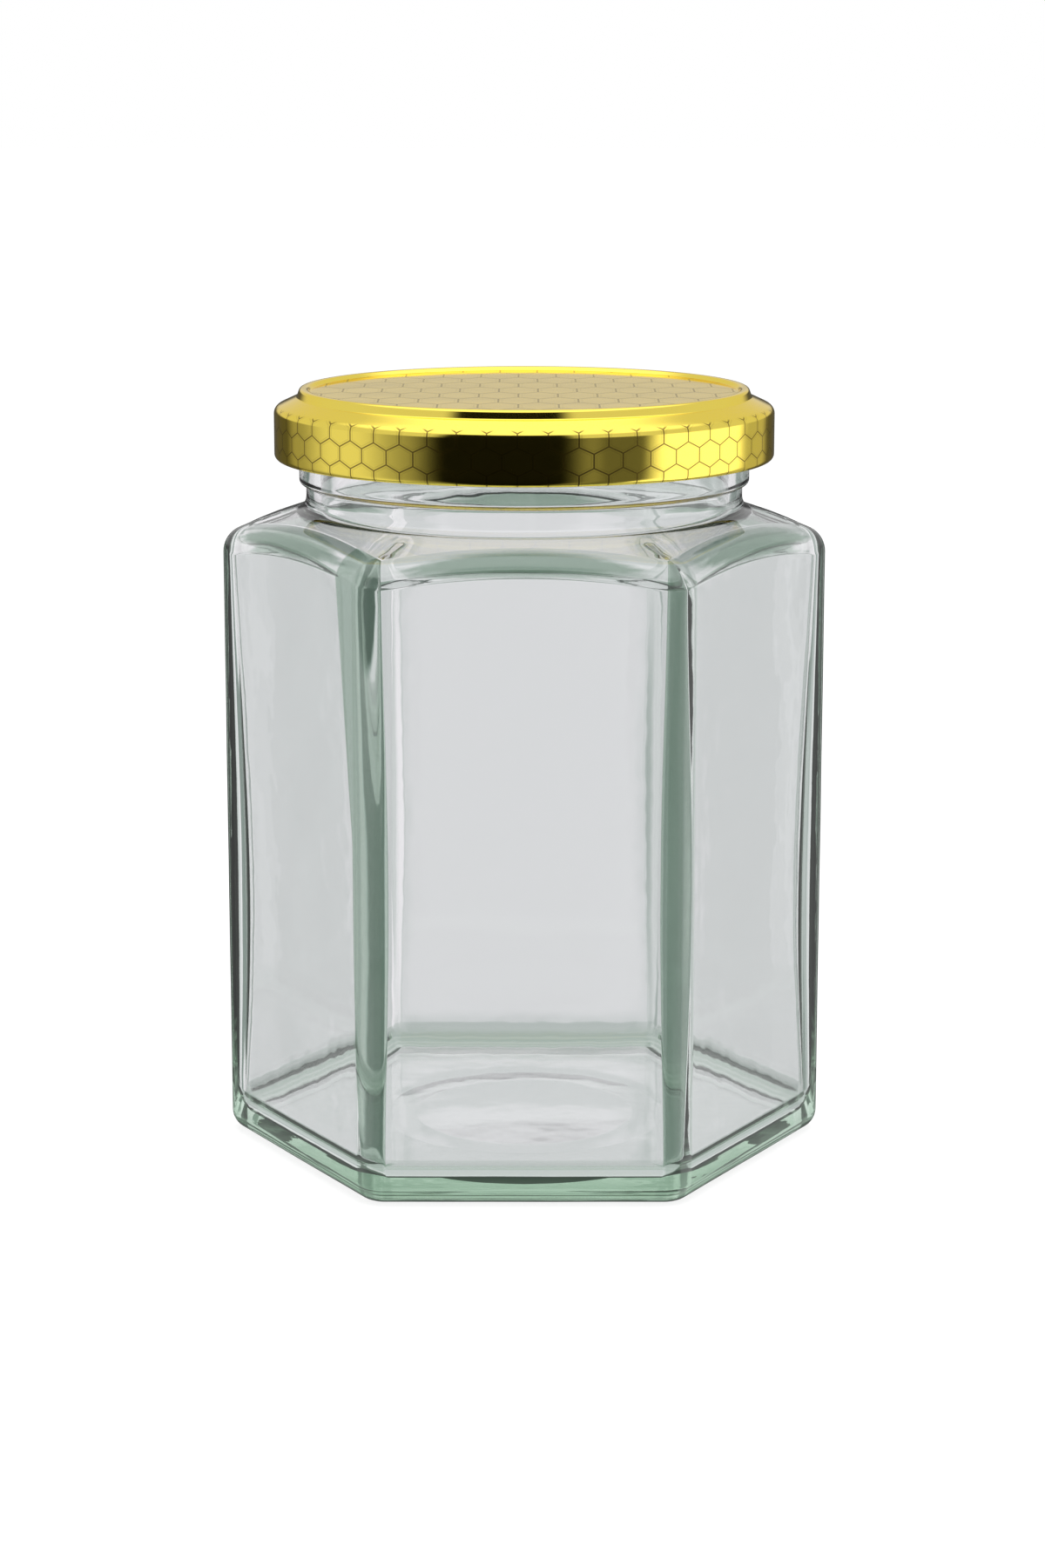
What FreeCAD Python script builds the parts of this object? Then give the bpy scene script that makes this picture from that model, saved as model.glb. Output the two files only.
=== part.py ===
"""Hexagonal honey jar of clear glass with a twist-off metal lid.

Frame: +Z up, origin in the middle of the base where it stands, one flat side faces -Y
and two upright corners lie on the X axis.  Millimetres.
"""
import FreeCAD, Part
import math
import os

V = FreeCAD.Vector
UP = V(0, 0, 1)
CENTRE = V(0, 0, 0)
COS30 = math.cos(math.radians(30))

# ---------------------------------------------------------------- driving dimensions
# Glass body
across_flats = 74.0         # outside, from one flat side to the opposite one
corner_round = 4.5          # outside radius of the six upright corners
wall = 2.3                  # thickness of the flat sides
inner_corner_round = 4.3    # inside radius of the upright corners
shoulder_height = 86.2      # height of the shoulder's edge at the corners
shoulder_slope = 19.0       # degrees, rise of the shoulder towards the neck
shoulder_round = 3.5        # radius between the sides and the shoulder
shoulder_inner_round = 3.0  # the same edge inside
shoulder_wall = 2.5         # thickness of the shoulder
heel_round = 2.8            # radius between the sides and the base
floor_thickness = 4.2       # glass under the contents
floor_round = 4.0           # inside radius around the floor, no larger than the corners'
push_up_radius = 19.0       # shallow hollow under the base
push_up_depth = 0.9
push_up_slope = 1.2         # width of the hollow's sloping edge

# Neck and finish
neck_radius = 30.3
neck_wall = 1.9
neck_round = 2.2            # radius between the shoulder and the neck
neck_height = 3.3           # from the shoulder to the transfer bead
bead_height = 3.6           # the ring under the lid
bead_reach = 0.95           # how far it stands out from the neck
bead_round = 0.6
bead_fillet = 0.3           # between the neck and the bead's underside
finish_reach = 0.6          # the finish above the bead stands out this far from the neck
finish_height = 8.0         # from the bead's top to the sealing rim
rim_round = 0.8

# Thread: short ridges, each with a slight lead
thread_starts = 4
thread_reach = 1.7          # how far a ridge stands out from the finish
thread_thickness = 1.6
thread_arc = 66.0           # degrees
thread_lead = 2.2           # degrees of tilt
thread_above_bead = 2.6     # from the bead's top to the middle of a ridge

# Lid, of pressed tinplate
plate = 0.3                 # sheet thickness
lid_clearance = 1.76        # between the thread and the inside of the skirt
lid_rim_gap = 0.24          # the lid's lower rim ends this far below the bead's top
curl_radius = 0.8           # rolled lower rim
skirt_round = 1.1           # radius between the skirt and the sloping shoulder
skirt_top_drop = 2.6        # the skirt's top corner lies this far under the lid's top
groove_drop = 1.15          # the step outside the ridge lies this far under the lid's top
panel_reach = 1.2           # the flat panel ends this far inside the finish's outer face
panel_drop = 0.9            # the middle panel lies this far under the lid's top
ridge_width = 0.9           # the raised ring around the panel
ridge_flank = 0.4           # width of the ring's sloping flanks
press_round = 0.3           # radius of the pressed bends
seal_thickness = 0.3        # compound between the rim and the panel's edge
seal_width = 2.2            # of the ring of compound, inwards from the raised ring's edge
lug_arc = 15.0              # degrees, each of the lugs that catch under the thread
lug_thickness = 1.0
lug_gap = 0.15              # between a lug and the thread above it
lug_bead_clearance = 0.5    # between a lug and the bead it passes

# ---------------------------------------------------------------- sizes that follow
apothem = across_flats / 2
inner_apothem = apothem - wall
corner_reach = (apothem - corner_round) / COS30 + corner_round
inner_reach = (inner_apothem - inner_corner_round) / COS30 + inner_corner_round
rise = math.tan(math.radians(shoulder_slope))
ceiling_drop = shoulder_wall / math.cos(math.radians(shoulder_slope))
outer_blank = across_flats          # radius safely outside every corner

bore_radius = neck_radius - neck_wall
finish_radius = neck_radius + finish_reach
bead_radius = neck_radius + bead_reach
bead_step = bead_reach - finish_reach
bead_under_round = min(bead_round, bead_reach - bead_fillet)
bead_over_round = min(bead_round, bead_step)
thread_radius = finish_radius + thread_reach
neck_base = shoulder_height + rise * (corner_reach - neck_radius)
bead_bottom = neck_base + neck_height
bead_top = bead_bottom + bead_height
rim_top = bead_top + finish_height
thread_middle = bead_top + thread_above_bead

lid_top = rim_top + seal_thickness + plate + panel_drop
lid_bottom = bead_top - lid_rim_gap
lid_radius = thread_radius + lid_clearance + plate
panel_radius = finish_radius - panel_reach
ridge_inner = panel_radius + ridge_flank
ridge_outer = ridge_inner + ridge_width
lug_inner = bead_radius + lug_bead_clearance
thread_dip = thread_radius * math.sin(math.radians(lug_arc / 2)) * math.sin(math.radians(thread_lead))
lug_top = thread_middle - thread_thickness / 2 - thread_dip - lug_gap


# ---------------------------------------------------------------- helpers
def shoulder_z(radius):
    """Height of the outside of the conical shoulder at a radius."""
    return shoulder_height + rise * (corner_reach - radius)


def ceiling_z(radius):
    """Height of the inside of the shoulder at a radius."""
    return shoulder_z(radius) - ceiling_drop


def offset_corners(corners, distance):
    """Corners of a path moved sideways by distance, to the right of its direction."""
    moved = []
    for i, (r, z) in enumerate(corners):
        normals = []
        for a, b in ((i - 1, i), (i, i + 1)):
            if 0 <= a and b < len(corners):
                dr, dz = corners[b][0] - corners[a][0], corners[b][1] - corners[a][1]
                length = math.hypot(dr, dz)
                normals.append((dz / length, -dr / length))
        nr = sum(n[0] for n in normals)
        nz = sum(n[1] for n in normals)
        scale = distance * len(normals) / (nr * nr + nz * nz)
        moved.append((r + nr * scale, z + nz * scale))
    return moved


def rounded_path(corners, radii):
    """Edges in the XZ plane through the corners, each bend an arc of its radius (0 is sharp)."""
    points = [V(r, 0, z) for r, z in corners]
    edges = []
    start = points[0]
    for i in range(1, len(points) - 1):
        before, bend, after = points[i - 1], points[i], points[i + 1]
        a = (before - bend).normalize()
        b = (after - bend).normalize()
        half = a.getAngle(b) / 2
        radius = radii[i]
        if radius > 0:
            reach = radius / math.tan(half)
            first, last = bend + a * reach, bend + b * reach
            middle_way = (a + b).normalize()
            top = bend + middle_way * (radius / math.sin(half) - radius)
        else:
            first = last = bend
        if start.distanceToPoint(first) > 1e-6:
            edges.append(Part.LineSegment(start, first).toShape())
        if radius > 0:
            edges.append(Part.Arc(first, top, last).toShape())
        start = last
    edges.append(Part.LineSegment(start, points[-1]).toShape())
    return edges


def spin(edges, degrees=360):
    """Solid swept by a closed outline in the XZ plane about the Z axis."""
    wire = Part.Wire(Part.__sortEdges__(edges))
    return Part.Face(wire).revolve(CENTRE, UP, degrees)


def hexagon_prism(flat, radius, bottom, top):
    """Upright hexagonal prism, flat sides at the apothem flat, corners rounded to radius."""
    corner = (flat - radius) / COS30
    edges = []
    for i in range(6):
        here = math.radians(60 * i)
        middle = V(corner * math.cos(here), corner * math.sin(here), bottom)
        arc = [middle + V(math.cos(t), math.sin(t), 0) * radius
               for t in (here - math.pi / 6, here, here + math.pi / 6)]
        edges.append(Part.Arc(*arc).toShape())
        there = math.radians(60 * (i + 1))
        end = V(corner * math.cos(there), corner * math.sin(there), bottom)
        end += V(math.cos(there - math.pi / 6), math.sin(there - math.pi / 6), 0) * radius
        edges.append(Part.LineSegment(arc[2], end).toShape())
    face = Part.Face(Part.Wire(edges))
    return face.extrude(UP * (top - bottom))


def edges_where(shape, low, high, beyond):
    """Nearly level edges whose middles lie between two heights and beyond a radius."""
    found = []
    for edge in shape.Edges:
        middle = edge.valueAt((edge.FirstParameter + edge.LastParameter) / 2)
        level = edge.BoundBox.ZMax - edge.BoundBox.ZMin < high - low
        if level and low < middle.z < high and math.hypot(middle.x, middle.y) > beyond:
            found.append(edge)
    return found


# ---------------------------------------------------------------- the glass jar
def outer_glass():
    """Hexagonal body, conical shoulder, neck, bead and finish, without the hollow inside."""
    corners = [(0, 0), (outer_blank, 0), (outer_blank, shoulder_z(outer_blank)),
               (neck_radius, neck_base), (neck_radius, bead_bottom), (bead_radius, bead_bottom),
               (bead_radius, bead_top), (finish_radius, bead_top), (finish_radius, rim_top),
               (0, rim_top), (0, 0)]
    radii = [0, 0, 0, neck_round, bead_fillet, bead_under_round, bead_over_round, 0, rim_round, 0, 0]
    envelope = spin(rounded_path(corners, radii))
    body = hexagon_prism(apothem, corner_round, 0, rim_top + 1).common(envelope)
    shoulder = edges_where(body, shoulder_height - 1, shoulder_z(apothem) + 1, apothem - 1)
    body = body.makeFillet(shoulder_round, shoulder)
    return body.makeFillet(heel_round, edges_where(body, -1, 1, apothem - 1))


def hollow():
    """The room inside: hexagonal below, sloping in under the shoulder, then the round bore."""
    above = rim_top + 1
    corners = [(0, floor_thickness), (outer_blank, floor_thickness),
               (outer_blank, ceiling_z(outer_blank)), (bore_radius, ceiling_z(bore_radius)),
               (bore_radius, above), (0, above), (0, floor_thickness)]
    radii = [0, 0, 0, neck_round, 0, 0, 0]
    envelope = spin(rounded_path(corners, radii))
    room = hexagon_prism(inner_apothem, inner_corner_round, floor_thickness, above).common(envelope)
    top = edges_where(room, ceiling_z(inner_reach) - 1, ceiling_z(inner_apothem) + 1, inner_apothem - 1)
    room = room.makeFillet(shoulder_inner_round, top)
    bottom = edges_where(room, floor_thickness - 1, floor_thickness + 1, inner_apothem - 1)
    return room.makeFillet(min(floor_round, inner_corner_round), bottom)


def push_up():
    """Shallow round hollow under the base, so that the jar stands on its edge."""
    corners = [(0, -1), (push_up_radius, -1), (push_up_radius, 0),
               (push_up_radius - push_up_slope, push_up_depth), (0, push_up_depth), (0, -1)]
    return spin(rounded_path(corners, [0] * len(corners)))


def thread_ridges():
    """Short ridges around the finish, each tilted a little like one start of a thread."""
    half = thread_thickness / 2
    root = finish_radius - neck_wall / 2
    corners = [(root, -half), (thread_radius - half / 2, -half), (thread_radius, 0),
               (thread_radius - half / 2, half), (root, half), (root, -half)]
    ridges = []
    for i in range(thread_starts):
        ridge = spin(rounded_path(corners, [0, half / 2, half / 2, half / 2, 0, 0]), thread_arc)
        ridge.rotate(CENTRE, UP, -thread_arc / 2)
        ridge.rotate(CENTRE, V(1, 0, 0), thread_lead)
        ridge.translate(V(0, 0, thread_middle))
        ridge.rotate(CENTRE, UP, 360.0 * i / thread_starts)
        ridges.append(ridge)
    return ridges


def glass_jar():
    jar = outer_glass().cut(hollow()).cut(push_up())
    tiny = 0.01
    inside_rim = [edge for edge in edges_where(jar, rim_top - tiny, rim_top + tiny, bore_radius - tiny)
                  if edge.BoundBox.XMax < bore_radius + tiny]
    jar = jar.makeFillet(rim_round, inside_rim)
    return jar.fuse(thread_ridges()).removeSplitter()


# ---------------------------------------------------------------- the lid
def pressed_shell():
    """Sheet of the lid: middle panel, raised ring, step, sloping shoulder and skirt."""
    outside = [(0, lid_top - panel_drop), (panel_radius, lid_top - panel_drop),
               (ridge_inner, lid_top), (ridge_outer, lid_top),
               (ridge_outer + ridge_flank, lid_top - groove_drop),
               (lid_radius, lid_top - skirt_top_drop), (lid_radius, lid_bottom + curl_radius)]
    tight = press_round
    wide = press_round + plate
    outside_radii = [0, tight, wide, wide, tight, skirt_round, 0]
    inside_radii = [0, wide, tight, tight, wide, skirt_round - plate, 0]
    inside = offset_corners(outside, plate)
    edges = rounded_path(outside, outside_radii) + rounded_path(inside, inside_radii)
    for a, b in ((outside[0], inside[0]), (outside[-1], inside[-1])):
        edges.append(Part.LineSegment(V(a[0], 0, a[1]), V(b[0], 0, b[1])).toShape())
    return spin(edges)


def lugs():
    """Inward tabs of the rolled rim that catch under the thread ridges."""
    root = lid_radius - curl_radius
    bottom = lug_top - lug_thickness
    turn = lug_thickness / 3
    corners = [(root, bottom), (lug_inner, bottom), (lug_inner, lug_top), (root, lug_top), (root, bottom)]
    tabs = []
    for i in range(thread_starts):
        tab = spin(rounded_path(corners, [0, turn, turn, 0, 0]), lug_arc)
        tab.rotate(CENTRE, UP, 360.0 * i / thread_starts - lug_arc / 2)
        tabs.append(tab)
    return tabs


def seal():
    """Ring of compound cast into the lid, flat underneath where it seats on the glass rim."""
    inner = ridge_outer - seal_width
    in_panel = lid_top - panel_drop - plate / 2
    in_ridge = lid_top - plate / 2
    corners = [(inner, rim_top), (ridge_outer, rim_top), (ridge_outer, in_ridge),
               (ridge_inner, in_ridge), (panel_radius, in_panel), (inner, in_panel), (inner, rim_top)]
    return spin(rounded_path(corners, [0] * len(corners)))


def lid():
    curl = Part.makeTorus(lid_radius - curl_radius, curl_radius, V(0, 0, lid_bottom + curl_radius), UP)
    return pressed_shell().fuse([curl, seal()] + lugs()).removeSplitter()


# ---------------------------------------------------------------- write the parts
os.makedirs("parts", exist_ok=True)
for name, shape in (("glass_jar", glass_jar()), ("lid", lid())):
    solids, box = shape.Solids, shape.optimalBoundingBox()
    print(name, "solids", len(solids), "valid", shape.isValid(),
          "volume_ml", round(shape.Volume / 1000, 2), "top", round(box.ZMax, 2),
          "width", round(box.XLength, 2), "depth", round(box.YLength, 2))
    solids[0].exportStep("parts/" + name + ".step")
brimful = hollow().common(Part.makeCylinder(outer_blank, rim_top, CENTRE, UP))
print("brimful capacity_ml", round(brimful.Volume / 1000, 1))
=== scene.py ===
# %% [markdown]
# # A six-sided honey jar with a gold twist-off lid
# The jar is clear, faintly green glass and stands empty.  A lid of pressed and printed tinplate
# is screwed on its round neck.  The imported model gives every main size; this script makes the
# surfaces that are seen: smooth glass with a real inside and outside, and thin shaped sheet.

# %% Load the frame
import math

import bpy
import mathutils
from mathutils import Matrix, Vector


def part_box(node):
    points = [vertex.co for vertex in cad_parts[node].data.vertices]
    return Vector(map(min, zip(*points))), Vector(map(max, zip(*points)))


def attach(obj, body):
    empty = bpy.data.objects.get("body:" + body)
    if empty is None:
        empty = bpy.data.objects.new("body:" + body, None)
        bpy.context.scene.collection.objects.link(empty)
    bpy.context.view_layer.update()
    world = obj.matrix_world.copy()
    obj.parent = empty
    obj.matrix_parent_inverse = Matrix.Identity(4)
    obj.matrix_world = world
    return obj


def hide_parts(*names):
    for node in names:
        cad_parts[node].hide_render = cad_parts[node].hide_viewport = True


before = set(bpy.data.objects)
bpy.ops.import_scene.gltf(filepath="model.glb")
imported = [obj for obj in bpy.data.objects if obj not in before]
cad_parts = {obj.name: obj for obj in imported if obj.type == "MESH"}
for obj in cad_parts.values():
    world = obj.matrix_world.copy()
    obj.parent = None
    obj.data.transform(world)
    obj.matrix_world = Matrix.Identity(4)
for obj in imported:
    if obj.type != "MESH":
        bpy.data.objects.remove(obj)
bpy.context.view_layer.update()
MM = 0.001

# %% [markdown]
# ## Sizes
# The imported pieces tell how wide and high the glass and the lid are.  The radius of the glass's
# upright corners follows from them too: a hexagon's sharp corner would reach further out than
# the glass does, and the difference is what the rounding takes off.  Smaller sizes, such as the
# bead under the lid, are named here in millimetres.

# %% Sizes from the frame
glass_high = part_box("glass_jar")[1]
lid_low, lid_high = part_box("lid")
COS30 = math.cos(math.radians(30))

apothem = glass_high.y                  # middle to a flat side
corner_reach = glass_high.x             # middle to the end of a rounded corner
corner_round = (apothem / COS30 - corner_reach) / (1 / COS30 - 1)
rim_top = glass_high.z
lid_top = lid_high.z
lid_bottom = lid_low.z
lid_radius = lid_high.x
print(f"flats {2 * apothem / MM:.1f} mm, corners {corner_round / MM:.2f} mm, rim {rim_top / MM:.1f} mm")

# %% Sizes of the body
wall = 2.3 * MM
inner_corner = 3.6 * MM          # inside radius of the upright corners at half height
inner_corner_end = 2.4 * MM      # and near the shoulder and the floor
least_corner = 0.2 * MM          # where the hexagon inside is all but sharp
inner_bow = 0.45                 # the corners inside are rather chamfered than round
shoulder_slope = math.radians(19)
neck_height = 18.94 * MM         # from the height of the shoulder's sharp edge to the rim
shoulder_round = 3.5 * MM
shoulder_bend = 2.3 * MM         # how far the bend inside the shoulder's edge reaches both ways
shoulder_bow = 0.2
shoulder_wall = 1.4 * MM
heel_round = 2.8 * MM
floor_thickness = 3.1 * MM
floor_bend = 3.2 * MM
floor_bow = 0.5
floor_dome = 0.35 * MM           # how much thicker the floor is in its middle
push_up_radius = 20.0 * MM
push_up_depth = 0.2 * MM
push_up_slope = 4.5 * MM
push_up_rounds = (6.0 * MM, 2.0 * MM)
foot_ring = 1.0 * MM             # the flat that the jar stands on, next to the push-up
shoulder_height = rim_top - neck_height
rise = math.tan(shoulder_slope)
print(f"wall {wall / MM} mm, floor {floor_thickness / MM} mm, shoulder at {shoulder_height / MM:.1f} mm")

# %% Sizes of the neck
bead_in_lid = 0.24 * MM          # how far the bead reaches up into the lid
bead_height = 3.6 * MM
bead_reach = 0.95 * MM
bead_rounds = (0.3 * MM, 0.6 * MM, 0.34 * MM)     # at its foot, its lower and its upper edge
lid_over_neck = 4.36 * MM        # from the outside of the neck to the outside of the lid
neck_wall = 1.9 * MM
neck_round = 2.2 * MM
neck_bend = neck_round * 0.995   # leaves a short straight run before the bend
finish_reach = 0.6 * MM
rim_round = 0.8 * MM
thread_reach = 1.7 * MM
thread_half = 0.8 * MM
thread_above_bead = 2.6 * MM
thread_starts = 4
thread_lead = math.radians(2.2)
thread_half_arc = math.radians(33)
thread_margin = 0.4 * MM         # the thread keeps this far above the bead
hair = 0.01 * MM                 # too short to count

neck_radius = lid_radius - lid_over_neck
bead_top = lid_bottom + bead_in_lid
bead_bottom = bead_top - bead_height
bore_radius = neck_radius - neck_wall
finish_radius = neck_radius + finish_reach
bead_radius = neck_radius + bead_reach
thread_middle = bead_top + thread_above_bead
print(f"bore {2 * bore_radius / MM:.1f} mm wide, thread at {thread_middle / MM:.1f} mm")

# %% Sizes of the lid
plate = 0.24 * MM
lid_panel_drop = 0.5 * MM
lid_panel_inside_rim = 1.2 * MM
lid_ridge_width = 0.9 * MM
lid_ridge_flank = 0.4 * MM
lid_step_drop = 1.15 * MM
lid_skirt_drop = 2.6 * MM
lid_skirt_round = 1.1 * MM
lid_press_round = 0.36 * MM
curl_radius = 0.8 * MM
curl_turn = 300                  # degrees
lid_panel_radius = finish_radius - lid_panel_inside_rim
ridge_inner = lid_panel_radius + lid_ridge_flank
ridge_outer = ridge_inner + lid_ridge_width
print(f"lid {2 * lid_radius / MM:.1f} mm wide, {(lid_top - lid_bottom) / MM:.1f} mm high")

# %% [markdown]
# ## A small language for nodes
# Node trees are easier to read as formulas.  A `Wire` is one output of a node, and the usual
# signs between wires add Math nodes.  Every other node comes from `make`, which takes the node's
# type, its settings and the values or wires for its inputs.  It serves shaders and geometry alike.

# %% Nodes


def pick(sockets, key):
    """The shown socket with a name, or with a place in the list."""
    shown = [socket for socket in sockets if socket.enabled]
    if isinstance(key, int):
        return shown[key]
    return next(socket for socket in shown if socket.name == key)


def make(tree, kind, settings=None, values=(), output=0):
    """Add a node, set it up, fill its inputs and return one output as a Wire."""
    node = tree.nodes.new(kind)
    for name, value in (settings or {}).items():
        setattr(node, name, value)
    pairs = values.items() if isinstance(values, dict) else enumerate(values)
    for key, value in pairs:
        socket = pick(node.inputs, key)
        if isinstance(value, Wire):
            tree.links.new(value.socket, socket)
        else:
            socket.default_value = value
    return Wire(tree, pick(node.outputs, output))


# %% Wires


class Wire:
    """One output of a node, to be used in formulas."""

    def __init__(self, tree, socket):
        self.tree = tree
        self.socket = socket

    def math(self, operation, *others):
        return make(self.tree, "ShaderNodeMath", {"operation": operation}, (self, *others))

    def other(self, name):
        """Another output of the same node."""
        return Wire(self.tree, pick(self.socket.node.outputs, name))

    def __add__(self, other):
        return self.math("ADD", other)

    def __sub__(self, other):
        return self.math("SUBTRACT", other)

    def __mul__(self, other):
        return self.math("MULTIPLY", other)

    def __truediv__(self, other):
        return self.math("DIVIDE", other)

    def __pow__(self, other):
        return self.math("POWER", other)

    def __lt__(self, other):
        return self.math("LESS_THAN", other)

    def __gt__(self, other):
        return self.math("GREATER_THAN", other)

    def __abs__(self):
        return self.math("ABSOLUTE")

    def __neg__(self):
        return self * -1

    def __radd__(self, other):
        return self + other

    def __rmul__(self, other):
        return self * other

    def __rsub__(self, other):
        return make(self.tree, "ShaderNodeMath", {"operation": "SUBTRACT"}, (other, self))

    def __rtruediv__(self, other):
        return make(self.tree, "ShaderNodeMath", {"operation": "DIVIDE"}, (other, self))


# %% Formulas on wires


def xyz(vector):
    """The three numbers of a vector."""
    x = make(vector.tree, "ShaderNodeSeparateXYZ", None, (vector,))
    return x, x.other("Y"), x.other("Z")


def vector_of(x, y, z):
    tree = next(part.tree for part in (x, y, z) if isinstance(part, Wire))
    return make(tree, "ShaderNodeCombineXYZ", None, (x, y, z))


def ramp_up(value, low, high):
    """0 below low, 1 above high, and a smooth slope between."""
    settings = {"interpolation_type": "SMOOTHSTEP"}
    values = {"Value": value, "From Min": low, "From Max": high}
    return make(value.tree, "ShaderNodeMapRange", settings, values)


def between(value, low, high, soft):
    """1 between low and high with soft ends, 0 elsewhere."""
    return ramp_up(value, low - soft, low + soft) * (1 - ramp_up(value, high - soft, high + soft))


def blend(mask, first, second):
    """first where the mask is 0 and second where it is 1, for numbers."""
    return first + mask * (second - first)


def blend_colours(mask, first, second):
    settings = {"data_type": "RGBA"}
    return make(mask.tree, "ShaderNodeMix", settings, {"Factor": mask, "A": first, "B": second}, "Result")


def noise(place, per_metre, detail=1.0):
    """A soft random field with features of about a metre divided by per_metre."""
    values = {"Vector": place, "Scale": per_metre, "Detail": detail}
    return make(place.tree, "ShaderNodeTexNoise", None, values, "Fac")


# %% [markdown]
# ## Profile lines
# Both the glass and the lid are drawn as a line in the plane of radius and height.  A pressed or
# moulded edge is an arc between two straight runs.  Where glass has gathered inside a corner the
# bend cuts the corner off more than an arc would, and a number, its bow, says how full it is.

# %% Profile lines


def arc_points(centre, radius, start, end, steps):
    """Points on an arc in the plane of radius and height, angles in degrees."""
    points = []
    for i in range(steps + 1):
        t = math.radians(start + (end - start) * i / steps)
        points.append((centre[0] + radius * math.cos(t), centre[1] + radius * math.sin(t)))
    return points


def rounded_corner(before, bend, after, radius, steps):
    """Points on the arc that rounds the corner at bend."""
    ax, ay = before[0] - bend[0], before[1] - bend[1]
    bx, by = after[0] - bend[0], after[1] - bend[1]
    la, lb = math.hypot(ax, ay), math.hypot(bx, by)
    ax, ay, bx, by = ax / la, ay / la, bx / lb, by / lb
    half = math.acos(max(-1, min(1, ax * bx + ay * by))) / 2
    reach = radius / math.tan(half)
    away = radius / math.sin(half) / math.hypot(ax + bx, ay + by)
    centre = (bend[0] + (ax + bx) * away, bend[1] + (ay + by) * away)
    first = (bend[0] + ax * reach, bend[1] + ay * reach)
    last = (bend[0] + bx * reach, bend[1] + by * reach)
    start = math.degrees(math.atan2(first[1] - centre[1], first[0] - centre[0]))
    turn = math.degrees(math.atan2(last[1] - centre[1], last[0] - centre[0])) - start
    turn = (turn + 180) % 360 - 180
    return arc_points(centre, radius, start, start + turn, steps)


def rounded_line(corners, radii, steps):
    """Points along straight runs joined by arcs."""
    points = [corners[0]]
    for i in range(1, len(corners) - 1):
        points += rounded_corner(corners[i - 1], corners[i], corners[i + 1], radii[i], steps)
    return points + [corners[-1]]


def divided(line, longest):
    """The same line with its long runs divided into even steps."""
    points = [line[0]]
    for end in line[1:]:
        begin = points[-1]
        pieces = max(1, math.ceil(math.dist(begin, end) / longest))
        for k in range(1, pieces + 1):
            points.append(tuple(begin[j] + (end[j] - begin[j]) * k / pieces for j in (0, 1)))
    return points


def soft_bend(start, end, bow, steps):
    """Points from start to end, bent towards the corner at 0, 0; the bow tells how far."""
    points = []
    for i in range(steps + 1):
        t = i / steps
        first, last = (1 - t) ** 2, t * t
        whole = first + last + 2 * bow * t * (1 - t)
        points.append(tuple((first * start[j] + last * end[j]) / whole for j in (0, 1)))
    return points


# %% [markdown]
# ## How the glass is shaped
# The jar is one wall of glass with an outside and an inside.  Walk up the outside, over the rim
# and down the inside, and every height has its own ring: a hexagon with rounded corners on the
# body, a circle on the neck, and something between on the shoulder.  So the jar is a list of
# stations, one for each ring, and one Geometry Nodes tree that turns a station into its ring.
# A rounded hexagon is a sharp one whose corners are cut off by a bend of a given length, which
# gives a formula with just an apothem and a corner radius.  On the conical shoulder the height
# follows from the distance to the axis, and that makes the arched upper edge of each flat side
# by itself.

# %% A station


class Station:
    """One ring: a rounded hexagon, a circle, or a mix of both, and its height."""

    def __init__(self, flat, corner, height, circle=0.0, mix=0.0, follow=0.0, ridge=0.0, thread=0.0,
                 uneven=(0.0, 0.0, 0.0), bow=COS30, shade_and_glow=(0.0, 0.0), lens=0.0):
        self.flat = flat          # apothem of the hexagon
        self.corner = corner      # its corner radius
        self.height = height
        self.circle = circle      # radius of the circle
        self.mix = mix            # 0 hexagon, 1 circle
        self.follow = follow      # 1 on the cone of the shoulder
        self.ridge = ridge        # how strongly the hips show
        self.thread = thread      # how strongly the thread shows
        self.uneven = uneven      # where blown glass gathered more, see uneven_corners
        self.bow = bow            # how full the bends are: an arc at cos 30, a chamfer at 0
        self.shade_and_glow = shade_and_glow        # painted shade and glow here, partly the real green of thick glass: in the corners, all round
        self.lens = lens          # 1 in the middle of the strip of painted dark green along the shoulder's edge


def ring(radius, height, thread=0.0):
    """A station that is a plain circle."""
    return Station(apothem, corner_round, height, radius, 1.0, thread=thread)


print("a plain ring:", vars(ring(30 * MM, 0.0)))

# %% [markdown]
# ## Uneven glass
# A pressed or blown jar has an exact outside, because that touches the mould, and an uneven
# inside, because glass gathers where the mould turns a corner.  The bends inside are longer than
# even ones at the two side corners, and one front corner has a wedge of glass at its top.  Each
# of these comes and goes by a smooth slope between two heights, told as shares of the wall.

# %% Uneven corners
side_gather = 3.6 * MM
wedge_least = 0.8 * MM
wedge_gather = 5.6 * MM          # what the wedge has more at its top than at its foot
end_gather = 0.4 * MM


def slope(value, low, high):
    """0 below low, 1 above high, smooth between."""
    t = min(max((value - low) / (high - low), 0.0), 1.0)
    return t * t * (3 - 2 * t)


def up_the_wall(height):
    """0 on the floor, 1 at the shoulder."""
    return (height - floor_thickness) / (shoulder_height - floor_thickness)


def inside_corner(height):
    """Inside radius of the upright corners: widest half way up."""
    t = up_the_wall(height)
    belly = slope(t, 0.0, 0.45) * slope(-t, -1.02, -0.5)
    return inner_corner_end + (inner_corner - inner_corner_end) * belly


def uneven_corners(height):
    """How much longer the inside bends are than even ones: at the two side corners, at the top of
    one front corner, and along the side panels' ends by the other four corners."""
    t = up_the_wall(height)
    side = side_gather * slope(t, -0.25, 0.35) * slope(-t, -1.15, -0.35)
    wedge = wedge_least + wedge_gather * min(max((t - 0.55) / 0.42, 0.0), 1.0)
    return (side, wedge, end_gather * slope(t, -0.1, 0.2) * slope(-t, -1.0, -0.5))


print(f"inside bend half way up: {inside_corner(shoulder_height / 2) / MM:.2f} mm")

# %% The underside and the heel
heel_shade = 0.35                # painted green shade all round the heel, in pale and bold lines
heel_beat = 2.1                  # radians from one line of painted shade to the next, which never repeats


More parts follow.
